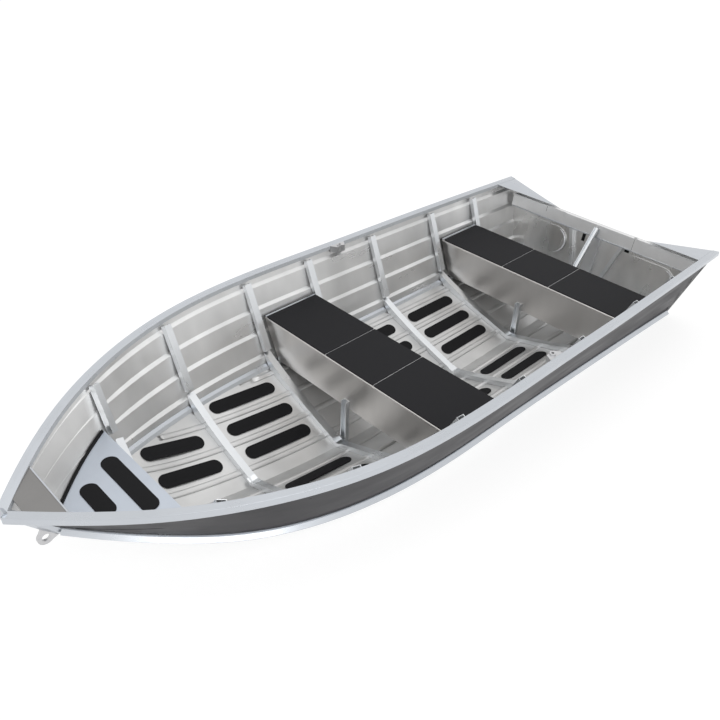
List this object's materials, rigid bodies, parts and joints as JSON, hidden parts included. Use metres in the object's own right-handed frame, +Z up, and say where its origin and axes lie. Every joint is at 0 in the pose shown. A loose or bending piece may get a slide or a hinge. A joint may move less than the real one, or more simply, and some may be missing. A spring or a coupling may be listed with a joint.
{
  "type": "rowing boat",
  "caption": "Open aluminium rowing boat with pressed plank sides, seven ribs, box seats with dark mats, a bow tray and a raked transom",
  "frame": {"origin": "on the waterline, on the centre line, half way between the transom's top corners and the bow tip", "axes": "X runs forward to the bow, Y to port, Z up"},
  "size_m": [3.7624, 1.4824, 0.6829],
  "materials": {
    "hull_sheet": "mill",
    "extrusion": "satin",
    "rib": "satin",
    "seat_sheet": "brushed",
    "tray_plate": "satin",
    "fitting": "cast",
    "seat_mat": "matte",
    "floor_pad": "matte"
  },
  "bodies": {
    "root": {"aft_thwart": "seat_sheet", "aft_thwart_brackets": "seat_sheet", "aft_thwart_mats": "seat_mat", "aft_thwart_post": "rib", "bottom_sheet_port": "hull_sheet", "bottom_sheet_starboard": "hull_sheet", "bow_eye": "fitting", "bow_tray": "tray_plate", "bow_tray_brackets": "tray_plate", "bow_tray_pads": "floor_pad", "breasthook": "tray_plate", "chine_bead_port": "extrusion", "chine_bead_starboard": "extrusion", "chine_port": "extrusion", "chine_starboard": "extrusion", "drain_fitting": "fitting", "floor_pads": "floor_pad", "floor_rib_1": "rib", "floor_rib_2": "rib", "floor_rib_3": "rib", "floor_rib_4": "rib", "floor_rib_5": "rib", "floor_rib_6": "rib", "floor_rib_7": "rib", "forward_thwart": "seat_sheet", "forward_thwart_brackets": "seat_sheet", "forward_thwart_mats": "seat_mat", "forward_thwart_post": "rib", "gunwale_port": "extrusion", "gunwale_starboard": "extrusion", "keel": "extrusion", "motor_pad": "rib", "quarter_knee_port": "extrusion", "quarter_knee_starboard": "extrusion", "rowlock_socket_port": "fitting", "rowlock_socket_starboard": "fitting", "side_ribs_1": "rib", "side_ribs_2": "rib", "side_ribs_3": "rib", "side_ribs_4": "rib", "side_ribs_5": "rib", "side_ribs_6": "rib", "side_ribs_7": "rib", "side_sheet_port": "hull_sheet", "side_sheet_starboard": "hull_sheet", "stem": "extrusion", "transom": "hull_sheet", "transom_brace": "rib", "transom_cap": "extrusion", "transom_stiffeners": "rib"}
  },
  "joints": []
}
